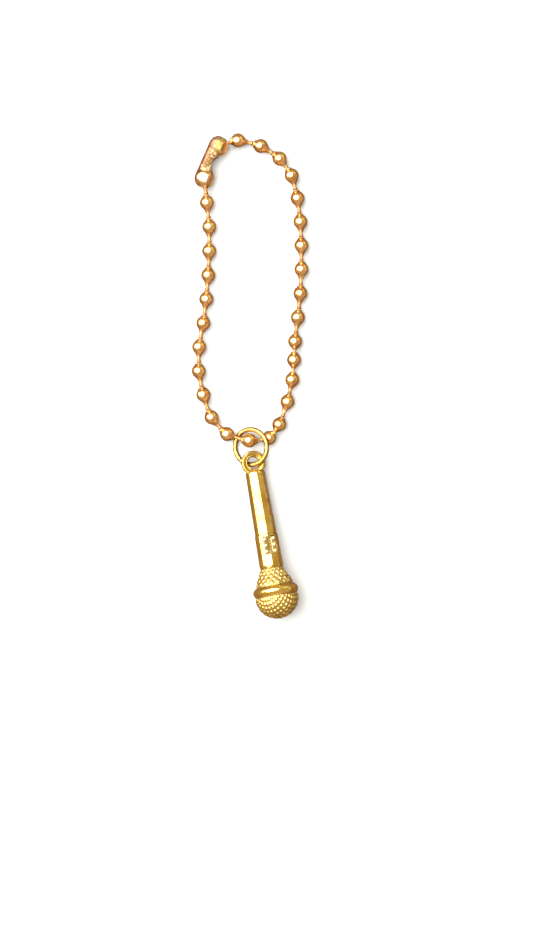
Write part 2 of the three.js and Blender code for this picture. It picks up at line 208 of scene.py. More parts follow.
def rounded(corners, radius):
    """A profile whose corners are turned into small arcs; the two ends stay as they are."""
    steps = 4
    most = 0.45  # of a side, so that the arcs at its two ends don't meet
    out = [corners[0]]
    for before, here, after in zip(corners, corners[1:], corners[2:]):
        before, here, after = np.array(before), np.array(here), np.array(after)
        back = min(radius, np.linalg.norm(before - here) * most)
        ahead = min(radius, np.linalg.norm(after - here) * most)
        first = here + unit(before - here) * back
        last = here + unit(after - here) * ahead
        for t in np.linspace(0, 1, steps + 1):
            out.append(tuple(bent(first, here, last, t)))
    out.append(corners[-1])
    return out


def spread(profile, step):
    """A profile with points added so that none are further apart than a step."""
    out = [profile[0]]
    for start, end in zip(profile, profile[1:]):
        start, end = np.array(start), np.array(end)
        parts = max(1, math.ceil(np.linalg.norm(end - start) / step))
        out.extend(tuple(start + (end - start) * i / parts) for i in range(1, parts + 1))
    return out


def grid_faces(rows, columns, wrap_rows=False):
    """The quads of a grid of points whose columns go all the way round."""
    row = np.arange(rows if wrap_rows else rows - 1)
    r, c = np.meshgrid(row, np.arange(columns), indexing="ij")
    r2, c2 = (r + 1) % rows, (c + 1) % columns
    quads = [r * columns + c, r * columns + c2, r2 * columns + c2, r2 * columns + c]
    return np.stack(quads, axis=-1).reshape(-1, 4)


def raw_mesh(name, points, faces, relief=None):
    """A clean closed mesh in millimetres: poles welded and faces turned outwards."""
    mesh = bpy.data.meshes.new(name)
    mesh.from_pydata(points.reshape(-1, 3).tolist(), [], faces.tolist())
    if relief is not None:
        layer = mesh.attributes.new("relief", "FLOAT", "POINT")
        layer.data.foreach_set("value", relief.astype(np.float32).ravel())
    made = bmesh.new()
    made.from_mesh(mesh)
    bmesh.ops.remove_doubles(made, verts=made.verts, dist=1e-4)
    bmesh.ops.recalc_face_normals(made, faces=made.faces)
    made.to_mesh(mesh)
    made.free()
    return mesh


def grid_mesh(name, points, wrap_rows=False, relief=None):
    rows, columns = points.shape[:2]
    return raw_mesh(name, points, grid_faces(rows, columns, wrap_rows), relief)


def combined(mesh, tool_mesh, operation):
    """Two closed meshes joined, or the first cut by the second."""
    holder = bpy.data.objects.new("holder", mesh)
    tool = bpy.data.objects.new("tool", tool_mesh)
    for helper in (tool, holder):
        bpy.context.scene.collection.objects.link(helper)
    modifier = holder.modifiers.new("combined", "BOOLEAN")
    modifier.operation = operation
    modifier.solver = "EXACT"
    modifier.object = tool
    evaluated = holder.evaluated_get(bpy.context.evaluated_depsgraph_get())
    out = bpy.data.meshes.new_from_object(evaluated)
    for helper in (holder, tool):
        bpy.data.objects.remove(helper)
    return out


def add_piece(name, mesh, body, nodes, material, place=Matrix.Identity(4)):
    """A mesh in millimetres becomes a piece in metres that stands for CAD nodes and rides on a body.
    Its own coordinates stay on it as an attribute, so that its finish follows its shape."""
    own = np.zeros(len(mesh.vertices) * 3, np.float32)
    mesh.vertices.foreach_get("co", own)
    mesh.attributes.new("own_place", "FLOAT_VECTOR", "POINT").data.foreach_set("vector", own)
    mesh.transform(place @ Matrix.Scale(MM, 4))
    mesh.name = name
    mesh.polygons.foreach_set("use_smooth", [True] * len(mesh.polygons))
    mesh.set_sharp_from_angle(angle=smooth_below)
    mesh.materials.clear()
    mesh.materials.append(material)
    piece = bpy.data.objects.new(name, mesh)
    bpy.context.scene.collection.objects.link(piece)
    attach(piece, body)
    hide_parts(*nodes)
    return piece


def ripple(points, size, height, seed):
    """Gentle unevenness of hand-finished metal: a few crossing waves of about a given size."""
    chance = random.Random(seed)
    total = np.zeros(points.shape[:-1])
    waves = 5
    for _ in range(waves):
        way = np.array([chance.gauss(0, 1) for _ in range(3)])
        way = unit(way) * 2 * math.pi / (size * chance.uniform(0.7, 1.5))
        total += np.sin(points @ way + chance.uniform(0, 2 * math.pi))
    return total * height / waves


def smooth_step(low, high, value):
    t = np.clip((value - low) / (high - low), 0, 1)
    return t * t * (3 - 2 * t)


def soft_least(a, b, blend):
    """The smaller of two values, rounded where they meet."""
    h = np.clip(0.5 + 0.5 * (b - a) / blend, 0, 1)
    return b * (1 - h) + a * h - blend * h * (1 - h)


def soft_most(a, b, blend):
    return -soft_least(-a, -b, blend)


# ---------- materials ----------

def add_node(tree, kind, inputs=None, **settings):
    """A shader node; an input is a value or another node's output socket."""
    made = tree.nodes.new(kind)
    for key, value in settings.items():
        setattr(made, key, value)
    for key, value in (inputs or {}).items():
        if isinstance(value, bpy.types.NodeSocket):
            tree.links.new(value, made.inputs[key])
        else:
            made.inputs[key].default_value = value
    return made


def ramp(tree, value, stops):
    """A colour ramp of (position, colour) stops."""
    made = add_node(tree, "ShaderNodeValToRGB", {"Fac": value})
    steps = made.color_ramp.elements
    while len(steps) < len(stops):
        steps.new(0.5)
    for step, (position, colour) in zip(steps, stops):
        step.position = position
        step.color = (*colour, 1)
    return made.outputs["Color"]


def mixed(tree, share, first, second):
    """The first colour, with a share of the second."""
    made = add_node(tree, "ShaderNodeMix", data_type="RGBA")
    factor, colour_a, colour_b = made.inputs[0], made.inputs[6], made.inputs[7]
    tree.links.new(share, factor)
    for socket, value in ((colour_a, first), (colour_b, second)):
        if isinstance(value, bpy.types.NodeSocket):
            tree.links.new(value, socket)
        else:
            socket.default_value = (*value, 1)
    return made.outputs[2]


def span(tree, value, low, high, to_low, to_high):
    """A value taken from one range to another, and held at its ends."""
    settings = {"Value": value, "From Min": low, "From Max": high, "To Min": to_low, "To Max": to_high}
    return add_node(tree, "ShaderNodeMapRange", settings).outputs["Result"]


def combination(tree, first, second, operation="MULTIPLY"):
    return add_node(tree, "ShaderNodeMath", {0: first, 1: second}, operation=operation).outputs["Value"]


def noise(tree, coords, size, detail=3.0):
    """Noise whose features are about a size in millimetres."""
    settings = {"Vector": coords, "Scale": 1 / size, "Detail": detail}
    return add_node(tree, "ShaderNodeTexNoise", settings).outputs["Fac"]


def own_coordinates(tree):
    """Millimetres in a piece's own frame, as add_piece keeps them."""
    return add_node(tree, "ShaderNodeAttribute", attribute_name="own_place").outputs["Vector"]


def frame_coordinates(tree):
    """Millimetres in the shared frame, for the CAD's own nodes."""
    metres = add_node(tree, "ShaderNodeTexCoord").outputs["Object"]
    settings = {"Vector": metres, "Scale": (1 / MM, 1 / MM, 1 / MM)}
    return add_node(tree, "ShaderNodeMapping", settings).outputs["Vector"]


def darker(colour, share):
    return tuple(share * c for c in colour)


def raised_tone(painted_shade_share):
    """Painted shade darkens the hollows, which are also duller, and the crests are polished lighter, by
    the height that the mesh keeps in its relief attribute.
    """
    def tone(tree, coords, colour, deep, worn):
        height = add_node(tree, "ShaderNodeAttribute", attribute_name="relief").outputs["Fac"]
        # The hollows get painted shade: darkened towards a dim brown.
        hollow = span(tree, height, 0.05, 0.5, painted_shade_share, 0.0)
        colour = mixed(tree, hollow, colour, darker(deep, 0.3))
        crest = span(tree, height, 0.75, 1.0, 0.0, 0.7)
        return mixed(tree, crest, colour, worn), span(tree, height, 0.0, 0.6, 0.3, 0.0)
    return tone


def eye_tone(tree, coords, colour, deep, worn):
    """The plating is darker and duller on the eye."""
    along = add_node(tree, "ShaderNodeSeparateXYZ", {"Vector": coords}).outputs["Y"]
    eye_darkening = span(tree, along, 1.0, 1.5, 1.0, 0.0)
    dullness = span(tree, along, 1.0, 1.5, 0.2, 0.0)
    return mixed(tree, eye_darkening, colour, darker(deep, 0.6)), dullness


def cone_tone(tree, coords, colour, deep, worn):
    """The cones round a ball's holes, where it meets its links, get a darker coppery painted shade and
    stay matt; the rest of the ball keeps its polish.
    """
    cone = add_node(tree, "ShaderNodeAttribute", attribute_name="relief").outputs["Fac"]
    dullness = span(tree, cone, 0.0, 1.0, 0.0, 0.32)
    # Painted shade on the cones, where the links meet the ball.
    return mixed(tree, cone, colour, darker(deep, 0.62)), dullness


def clasp_tone(tree, coords, colour, deep, worn):
    """Painted reflections and painted shade on the clasp: a coppery band along the back, bands of copper,
    cream, yellow-green and orange over the upper cup's top, browns to yellow on the waist's top, and a
    dark open side on the lower cup.
    """
    parts = add_node(tree, "ShaderNodeSeparateXYZ", {"Vector": coords}).outputs
    sideways, along, up = parts["X"], parts["Y"], parts["Z"]
    # A painted coppery reflection along the back.
    colour = mixed(tree, span(tree, sideways, -0.75, -1.35, 0.0, 0.7), colour, (0.50, 0.25, 0.14))
    top = span(tree, up, 0.7, 1.2, 0.0, 1.0)
    after_cup = span(tree, along, 1.0, 1.7, 0.0, 0.92)
    # Painted reflections across the upper cup's top, from copper at the back through cream and
    # yellow-green to orange.
    cup_reflection_stops = [
        (0.10, (0.26, 0.12, 0.07)),
        (0.38, (0.30, 0.23, 0.125)),
        (0.55, (0.26, 0.23, 0.045)),
        (0.72, (0.34, 0.17, 0.03)),
        (0.90, (0.38, 0.17, 0.03)),
    ]
    # Painted shade on the waist's top, darkest towards the back and yellower towards the open side.
    waist_shade_stops = [
        (0.15, (0.13, 0.05, 0.024)),
        (0.40, (0.09, 0.04, 0.015)),
        (0.62, (0.12, 0.066, 0.016)),
        (0.80, (0.21, 0.125, 0.03)),
    ]
    painted_reflection = ramp(tree, span(tree, sideways, -1.6, 1.6, 0.0, 1.0), cup_reflection_stops)
    waist = ramp(tree, span(tree, sideways, -1.6, 0.6, 0.0, 1.0), waist_shade_stops)
    painted_reflection = mixed(tree, span(tree, along, 4.2, 4.7, 0.0, 1.0), waist, painted_reflection)
    # The painted reflections and shade lie on the top, past the lower cup.
    share = combination(tree, top, after_cup)
    colour = mixed(tree, share, colour, painted_reflection)
    # Painted shade on the lower cup's open side.
    open_side = span(tree, sideways, 0.72, 0.86, 0.0, 0.7)
    lower_cup = span(tree, along, 1.6, 1.2, 0.0, 1.0)
    shaded_side = combination(tree, open_side, lower_cup)
    return mixed(tree, shaded_side, colour, (0.30, 0.17, 0.06)), span(tree, share, 0.0, 1.0, 0.0, 0.4)


def metal(name, light, deep, worn, shine, stretch=(1, 1, 1), mottle=1.4,
          coordinates=own_coordinates, tone=None):
    """Plated metal: mottled colour, worn edges, darker concave creases, fine scratches and grain."""
    material = bpy.data.materials.new(name)
    material.use_nodes = True
    tree = material.node_tree
    shader = tree.nodes["Principled BSDF"]
    coords = coordinates(tree)
    cloud = noise(tree, coords, mottle, 4.0)
    colour = ramp(tree, cloud, [(0.36, deep), (0.56, light)])
    speck = noise(tree, coords, 0.16, 2.0)
    tarnish = span(tree, speck, 0.62, 0.74, 0.0, 0.25)
    colour = mixed(tree, tarnish, colour, darker(deep, 0.55))
    smear = noise(tree, coords, 0.7, 5.0)
    roughness = span(tree, smear, 0.3, 0.7, shine[0], shine[1])
    if tone:
        colour, dullness = tone(tree, coords, colour, deep, worn)
        roughness = combination(tree, roughness, dullness, "ADD")
    point = add_node(tree, "ShaderNodeNewGeometry").outputs["Pointiness"]
    edge = span(tree, point, 0.515, 0.57, 0.0, 0.8)
    colour = mixed(tree, edge, colour, worn)
    groove = span(tree, point, 0.485, 0.43, 0.0, 0.75)
    colour = mixed(tree, groove, colour, darker(deep, 0.35))
    tree.links.new(colour, shader.inputs["Base Color"])
    shader.inputs["Metallic"].default_value = 1.0
    tree.links.new(roughness, shader.inputs["Roughness"])
    lined = add_node(tree, "ShaderNodeMapping", {"Vector": coords, "Scale": stretch}).outputs["Vector"]
    scratches = noise(tree, lined, 0.12, 4.0)
    grain = noise(tree, coords, 0.05, 2.0)
    waves = noise(tree, coords, 0.9, 1.0)
    normal = None
    for height, depth in ((waves, 0.012), (scratches, 0.003), (grain, 0.0012)):
        settings = {"Height": height, "Strength": 0.6, "Distance": depth * MM}
        if normal is not None:
            settings["Normal"] = normal
        normal = add_node(tree, "ShaderNodeBump", settings).outputs["Normal"]
    tree.links.new(normal, shader.inputs["Normal"])
    return material


# ---------- microphone ----------

def turned_piece(name, profile, columns, seed):
    """A turned hollow part with the slight unevenness of a casting."""
    wave_length, waviness = 2.6, 0.006
    points = lathe(profile, all_round(columns))
    centre = points * np.array([0, 1, 0])
    out = points - centre
    distance = np.linalg.norm(out, axis=-1, keepdims=True)
    push = ripple(points, wave_length, waviness, seed)[..., None] * np.minimum(distance, 1)
    points = points + out / np.maximum(distance, 1e-6) * push
    return grid_mesh(name, points, wrap_rows=True)


def eye_profile():
    """Half the eye plate's section, as (radius, height): a rolled rim, a groove and an inner lip."""
    width = eye.radius - eye.hole
    top = []
    for t in np.linspace(0, 1, 33):
        power = eye.outer_squareness if t > 0.5 else eye.hole_squareness
        edge = math.sqrt(max(0.0, 1 - abs(2 * t - 1) ** power))
        dip = math.exp(-((t - eye.groove_place) / eye.groove_width) ** 2) * (eye.rim - eye.groove)
        top.append((eye.hole + width * t, (eye.rim - dip) * edge))
    bottom = [(r, -h) for r, h in reversed(top[1:-1])]
    return top + bottom


def lathe_about_z(profile, columns):
    return lathe(profile, all_round(columns))[..., [0, 2, 1]]


def tail_cap_mesh():
    """The grooved eye and the bevelled cap with its plug, cast as one. The cap reaches almost to
    the handle, so that the seam between them hardly shows."""
    plug = handle.tail_radius - handle.wall - fit
    plug_end = handle.start + tail.plug
    outer = rounded([
        (0, handle.start - tail.cap),
        (handle.tail_radius - tail.shoulder_depth, handle.start - tail.cap),
        (handle.tail_radius, handle.start - tail.shoulder),
        (handle.tail_radius, handle.start - tail.lip),
        (handle.tail_radius, handle.start - tail.seam),
        (plug, handle.start - tail.seam),
    ], tail.edge)
    hole = stud.radius + fit
    inner = [(plug, plug_end), (hole, plug_end), (hole, stud.tail_end - fit), (0, stud.tail_end - fit)]
    cap = grid_mesh("cap", lathe(spread(outer + inner, 0.12), all_round(96)))
    beyond = 1.0  # past both faces of the plate
    bore = [(0, -beyond), (eye.hole, -beyond), (eye.hole, beyond), (0, beyond)]
    plate = grid_mesh("eye", lathe_about_z(spread(eye_profile(), 0.08), 120), wrap_rows=True)
    drill = grid_mesh("bore", lathe_about_z(bore, 120))
    return combined(combined(cap, drill, "DIFFERENCE"), plate, "UNION")


def tube_profile(outer, inner_radius, edge):
    """A closed tube profile: the outside given, the inside a plain bore. It starts and ends
    half-way along the bore, a little apart."""
    start, end = outer[0][1], outer[-1][1]
    middle, apart, step = (start + end) / 2, 0.01, 0.3
    loop = [(inner_radius, middle), (inner_radius, start), *outer, (inner_radius, end)]
    loop.append((inner_radius, middle + apart))
    return spread(rounded(loop, edge), step)


def handle_mesh():
    outer = [(handle.tail_radius, handle.start), (handle.head_radius, handle.end)]
    profile = tube_profile(outer, handle.tail_radius - handle.wall, handle.edge)
    return turned_piece("handle_tube", profile, 96, seed=3)


def collar_mesh():
    """The switch collar: a band with a shallow flat-floored pocket on its face side."""
    outer = [
        (collar.tail_radius - collar.lead_in_depth, collar.start),
        (collar.tail_radius, collar.start + collar.lead_in),
        (collar.head_radius, collar.end - collar.taper),
        (collar.head_radius - collar.taper_depth, collar.end),
    ]
    # Columns and rows lie close together at the pocket's walls.
    half_angle = math.asin(pocket.width / 2 / collar.tail_radius)
    close = [half_angle + d for d in (-0.05, -0.035, -0.02, -0.01, 0.0, 0.01, 0.02, 0.035)]
    inside = np.linspace(0, half_angle - 0.07, 14)
    outside = np.linspace(half_angle + 0.06, math.pi, 44)
    one_side = np.concatenate([inside, close, outside])
    angles = np.concatenate([one_side, -one_side[1:-1][::-1]])
    profile = tube_profile(outer, collar.inner_radius, collar.edge)
    stations = [pocket.centre + side * (pocket.length / 2 + d)
                for side in (-1, 1) for d in (-0.09, -0.06, -0.04, -0.02, 0.0, 0.02, 0.05)]
    skin = 0.2  # what lies deeper than this under the surface is the bore
    profile = with_stations(profile, stations, collar.tail_radius - 1.5 * skin)
    points = lathe(profile, angles)
    x, y, z = points[..., 0], points[..., 1], points[..., 2]
    floor = collar.tail_radius - pocket.depth
    across = pocket.width / 2 - abs(x)
    along = pocket.length / 2 - abs(y - pocket.centre)
    sunk = smooth_step(0, pocket.wall, np.minimum(across, along))
    outer_face = (z > floor) & (np.hypot(x, z) > collar.tail_radius - skin)
    points[..., 2] = np.where(outer_face, z * (1 - sunk) + floor * sunk, z)
    return grid_mesh("collar", points, wrap_rows=True)


def with_stations(profile, stations, least_radius):
    """A profile with points added at given stations on its outside."""
    out = [profile[0]]
    for start, end in zip(profile, profile[1:]):
        if min(start[0], end[0]) > least_radius and end[1] > start[1]:
            for station in sorted(s for s in stations if start[1] < s < end[1]):
                t = (station - start[1]) / (end[1] - start[1])
                out.append((start[0] + (end[0] - start[0]) * t, station))
        out.append(end)
    return out


def strip_across(row, columns):
    """The quads that close one row of a grid, from its first half to its second."""
    start = row * columns
    end = start + columns - 1
    return [[start + i, start + i + 1, end - 1 - i, end - i] for i in range(columns // 2 - 1)]


def switch_mesh():
    """The slider plate: a ridged middle between two columns of domed studs."""
    width, length = pocket.width - 2 * fit, pocket.length - 2 * fit
    u = np.linspace(-1, 1, 81)
    v = np.linspace(-1, 1, 121)
    x, y = np.meshgrid(u * width / 2, v * length / 2)
    base = collar.tail_radius - pocket.depth + fit
    edge = np.minimum(width / 2 - abs(x), length / 2 - abs(y))
    top = base + slider.thickness * smooth_step(-0.08, slider.soft, edge)
    slide = smooth_step(slider.half_width, slider.half_width - slider.soft, abs(x))
    slide = slide * smooth_step(slider.half_length, slider.half_length - slider.soft, abs(y))
    top += slide * (slider.ridge * np.cos(2 * math.pi * y / slider.ridge_pitch) - slider.sunk)
    for column in (-0.5, 0.5):
        for row in (-1, 0, 1):
            away = np.hypot(x - column * bump.across, y - row * bump.along) / bump.radius
            stud_height = bump.wall + bump.dome * (1 - away ** 2)
            top += stud_height * smooth_step(1.0, 0.8, away)
    upper = np.stack([x, y + pocket.centre, top], axis=-1)
    lower = np.stack([x, y + pocket.centre, np.full_like(x, base)], axis=-1)
    points = np.concatenate([upper, lower[:, ::-1]], axis=1)
    rows, columns = points.shape[:2]
    faces = np.concatenate([
        grid_faces(rows, columns),
        strip_across(0, columns),
        strip_across(rows - 1, columns),
    ])
    just_above = slider.thickness + 0.01
    relief = np.clip((points[..., 2] - base - just_above) / bump.wall, 0, 1)
    return raw_mesh("switch_plate", points, faces, relief)


def studded(a, b):
    """Height, from 0 to 1, of round studs on the whole points of a and b."""
    away = np.hypot(a - np.round(a), b - np.round(b)) / grille.stud
    return np.sqrt(np.clip(1 - away ** 2, 0, 1))


def neck_mesh():
    """The flared lower grille, with staggered rows of studs round it."""
    count, columns, rows_per_inner_row = 64, 320, 7
    stations = np.linspace(0, 1, count)
    flare = stations ** 2 * (3 - 2 * stations) * 0.5 + stations * 0.5
    radius = neck.tail_radius + (neck.head_radius - neck.tail_radius) * flare
    height = neck.start + (neck.end - neck.start) * stations
    angles = all_round(columns)
    around = grille.around * angles / (2 * math.pi)
    along = (height - neck.start) / (grille.pitch * math.sqrt(2))
    relief = studded(around[None, :] + along[:, None], around[None, :] - along[:, None])
    relief = relief * smooth_step(0, 0.08, np.minimum(stations, 1 - stations))[:, None]
    outer = lathe(np.stack([radius, height], axis=1), angles)
    outward = np.stack([np.sin(angles), np.zeros_like(angles), np.cos(angles)], axis=-1)
    depth = grille.relief * (relief - grille.neck_sunk)
    outer = outer + outward[None] * depth[..., None]
    rows = np.arange(count - 1, -1, -rows_per_inner_row)
    inner = lathe(np.stack([radius[rows] - neck.wall, height[rows]], axis=1), angles)
    both = np.concatenate([outer, inner])
    reliefs = np.concatenate([relief, np.zeros(inner.shape[:2])])
    return grid_mesh("neck_grille", both, wrap_rows=True, relief=reliefs)


def ball_mesh():
    """The domed grille: studs over a half ball, square to the ball's tip."""
    inner_radius = ball.radius - ball.wall
    start = math.asin((ball.start - ball.centre) / ball.radius)
    inner_start = math.asin((ball.start - ball.centre) / inner_radius)
    columns, rows, inner_rows = 380, 104, 16
    angles = all_round(columns)
    up = np.linspace(start, math.pi / 2, rows)
    from_tip = (math.pi / 2 - up) * ball.radius
    u = from_tip[:, None] * np.sin(angles)[None, :]
    v = from_tip[:, None] * np.cos(angles)[None, :]
    scale = 1 / (grille.pitch * math.sqrt(2))
    relief = studded((u + v) * scale + 0.5, (u - v) * scale)
    relief = relief * smooth_step(0, 0.05, up - start)[:, None]
    radius = ball.radius + grille.relief * (relief - grille.ball_sunk)
    outer = np.stack([
        radius * np.cos(up)[:, None] * np.sin(angles)[None, :],
        ball.centre + radius * np.sin(up)[:, None],
        radius * np.cos(up)[:, None] * np.cos(angles)[None, :],
    ], axis=-1)
    inner = lathe(arc(inner_radius, ball.centre, math.pi / 2, inner_start, inner_rows), angles)
    both = np.concatenate([inner, outer])
    reliefs = np.concatenate([np.zeros(inner.shape[:2]), relief])
    return grid_mesh("ball_grille", both, wrap_rows=True, relief=reliefs)


def belt_mesh():
    """The smooth rounded belt between the two grilles."""
    crest = (belt.start + belt.end) / 2
    outer = [
        (belt.radius - belt.neck_edge_drop, belt.start),
        (belt.radius - belt.neck_slope_drop, crest - belt.neck_slope),
        (belt.radius, crest),
        (belt.radius - belt.ball_slope_drop, crest + belt.ball_slope),
        (belt.radius - belt.ball_edge_drop, belt.end),
    ]
    return turned_piece("belt_ring", tube_profile(outer, belt.inner_radius, belt.edge), 128, seed=5)


def build_microphone(place, gold, switch_gold, grille_gold, brass):
    made = {
        "tail_cap": (tail_cap_mesh(), "microphone_gold", gold),
        "handle_tube": (handle_mesh(), "microphone_gold", gold),
        "collar": (collar_mesh(), "microphone_gold", gold),
        "switch_plate": (switch_mesh(), "microphone_gold", switch_gold),
        "neck_grille": (neck_mesh(), "mesh_gold", grille_gold),
        "belt_ring": (belt_mesh(), "microphone_gold", gold),
        "ball_grille": (ball_mesh(), "mesh_gold", grille_gold),
    }
    for name, (mesh, slot, material) in made.items():
        add_piece(name + "_look", mesh, "microphone", [name], material, place)
    for name in ("tie_stud", "head_hub"):
        for slot in frame["nodes"][name].material_slots:
            slot.material = brass


# ---------- jump ring ----------

def ring_mesh():
    """Round wire bent into a ring, its two cut ends almost touching."""
    steps, columns = 150, 28
    gap = ring.cut_gap / ring.mean_radius
    angles = ring.cut + gap / 2 + np.linspace(0, 2 * math.pi - gap, steps)
    bevel = ring.bevel / ring.mean_radius
    angles = np.concatenate([[angles[0]] * 2, [angles[0] + bevel], angles[1:-1],
                             [angles[-1] - bevel], [angles[-1]] * 2])
    shrink = np.ones(len(angles))
    shrink[[0, -1]] = 0
    shrink[[1, -2]] = 1 - 2 * ring.bevel / ring.wire
    turn = all_round(columns)
    wire = ring.wire / 2 * shrink[:, None] + 0 * turn[None, :]
    reach = ring.mean_radius + wire * np.cos(turn)[None, :]
    points = np.stack([
        reach * np.sin(angles)[:, None],
        ring.mean_radius + reach * np.cos(angles)[:, None],
        wire * np.sin(turn)[None, :],
    ], axis=-1)
    wave_length = 3.0
    uneven = ripple(points, wave_length, ring.bend, 8)[..., None] * shrink[:, None, None]
    mostly_across = np.array([0.3, 0.3, 1])
    points = points + uneven * mostly_across
    return grid_mesh("jump_ring", points)


# ---------- ball chain ----------

def lip_reach(longest, spacing):
    """How far a bead's lip may stand out when the next bead is a given distance away."""
    return max(lip.least, min(longest, (spacing - lip.gap) / 2))


def lip_profile(radius, hole, reach, side):
    """The cone and rolled lip round a hole, from the bead's shoulder to its inner wall."""
    shoulder = np.array([bead.radius * math.sin(lip.start), bead.radius * math.cos(lip.start)])
    tip = np.array([radius, reach])
    tangent = np.array([-1, 1]) * min(shoulder[0] - radius, reach - shoulder[1])
    pull = shoulder + tangent * lip.hollow
    curve = [bent(shoulder, pull, tip, t) for t in np.linspace(0, 1, 9)[1:]]
    curve.append((radius - 0.03, reach + 0.02))
    curve.append((hole + lip.flare, reach))
    curve.append((hole + lip.flare * 0.8, reach - 0.08))
    curve.append((hole, math.sqrt((bead.radius - bead.wall) ** 2 - hole ** 2)))
    return [(r, side * y) for r, y in curve]


def bead_profile(near_reach, far_reach):
    """A hollow bead along Y: its own link enters the tight hole at -Y, the next one the other."""
    inner = bead.radius - bead.wall
    outer = arc(bead.radius, 0, lip.start - math.pi / 2, math.pi / 2 - lip.start, 22)
    far = lip_profile(lip.far_radius, bead.hole, far_reach, 1)
    near = lip_profile(lip.near_radius, lip.near_hole, near_reach, -1)
    inside = arc(inner, 0, math.acos(bead.hole / inner), -math.acos(lip.near_hole / inner), 12)
    return outer + far + inside[1:-1] + near[::-1]


def turned_to(way):
    """The turn that takes Y to a direction."""
    return np.array(Vector((0, 1, 0)).rotation_difference(Vector(way)).to_matrix())


def turned_about(points, axis, angles):
    """Points turned about an axis through the origin, each by its own angle."""
    c, s = np.cos(angles)[..., None], np.sin(angles)[..., None]
    return points * c + np.cross(axis, points) * s + axis * (points @ axis)[..., None] * (1 - c)


def bead_mesh(name, centre, own_way, next_way, reaches, seed):
    """A bead rolled from strip, with its fine seam and a hole facing each of its links."""
    chance = random.Random(seed)
    # Columns lie close together at the seam.
    seam = [0.0, 0.025, 0.06, -0.06 + 2 * math.pi, -0.025 + 2 * math.pi]
    angles = np.sort(np.concatenate([np.linspace(0.12, 2 * math.pi - 0.12, bead.columns), seam]))
    points = lathe(bead_profile(*reaches), angles)
    distance = np.linalg.norm(points, axis=-1)
    to_seam = np.minimum(angles, 2 * math.pi - angles)
    outside = distance > bead.radius - 0.05
    groove = -bead.seam_depth * np.exp(-(to_seam / bead.seam_width) ** 2)[None, :] * outside
    wave_length = 1.6
    dents = ripple(points, wave_length, bead.dent, seed) * smooth_step(1.1, 0.9, abs(points[..., 1]))
    points = points * (1 + (groove + dents) / bead.radius)[..., None]
    spin = chance.uniform(0, 2 * math.pi)
    points = turned_about(points, np.array([0.0, 1.0, 0.0]), np.full(points.shape[:2], spin))
    cone = smooth_step(bead.radius * 1.01, bead.radius * 1.12, np.linalg.norm(points, axis=-1))
    near_share = 1 - smooth_step(-0.5, 0.5, points[..., 1] / bead.radius)
    points = points @ turned_to(next_way).T
    axis = np.cross(-next_way, own_way)
    if np.linalg.norm(axis) > 1e-6:
        angle = math.asin(min(1.0, np.linalg.norm(axis)))
        points = turned_about(points, unit(axis), angle * near_share)
    return grid_mesh(name, points + centre, wrap_rows=True, relief=cone)


def pin_head(radius, face, back):
    """A link's rounded head, from the face where the shank enters to its back on the axis."""
    middle = (face + back) / 2
    return [
        (link.shank + 0.05, face),
        (radius * 0.92, face + (middle - face) * 0.3),
        (radius, middle),
        (radius * 0.85, middle + (back - middle) * 0.6),
        (radius * 0.45, back),
        (0, back),
    ]


def pin_collar(radius, waist):
    """A collar that widens beyond the bead that the link swings in, and narrows to the waist."""
    slope = [(link.shank, link.collar_start - 0.03), (radius - 0.02, link.collar_crest - 0.04)]
    for t in np.linspace(0, 1, 7):
        station = link.collar_crest + (waist - link.collar_crest) * t
        slope.append((link.shank + (radius - link.shank) * (1 - t) ** 2, station))
    return slope


def pin_mesh(name, start, way, back, front, collar_radius, waist):
    """A link: a round wire between the two end profiles, with a collar if there is room for one."""
    fillet = 0.08
    shank_end = front[0][1] - fillet
    shank = [(link.shank, back[-1][1] + fillet)]
    waist = min(waist, shank_end - 0.3)
    if waist > link.least_waist:
        shank += pin_collar(collar_radius, waist)
    profile = back + shank + [(link.shank, shank_end)] + front
    points = lathe(spread(profile, 0.25), all_round(20))
    return grid_mesh(name, points @ turned_to(way).T + start)


def dumbbell_mesh(name, start, way, length, collar_radius):
    """A link with an upset head inside the bead at each end."""
    back = pin_head(link.head, -link.head_front, -link.head_back)[::-1]
    inside = length - bead.radius
    front = pin_head(link.inner_head, inside + link.inner_head_front, inside + link.inner_head_back)
    return pin_mesh(name, start, way, back, front, collar_radius, length - lip.near_reach)


def stub_mesh(name, start, way, length):
    """The last link, cut off square where it meets the clasp's upper cup."""
    back = [(0, 0), (0.2, 0)]
    front = [(link.shank * 0.7, length), (0, length)]
    return pin_mesh(name, start, way, back, front, link.collar, length - lip.near_reach)


def hole_way(own_way, towards):
    """The way a bead's far hole faces: between its own link's line and the next bead."""
    return unit((1 - hole_towards_next) * own_way + hole_towards_next * unit(towards))


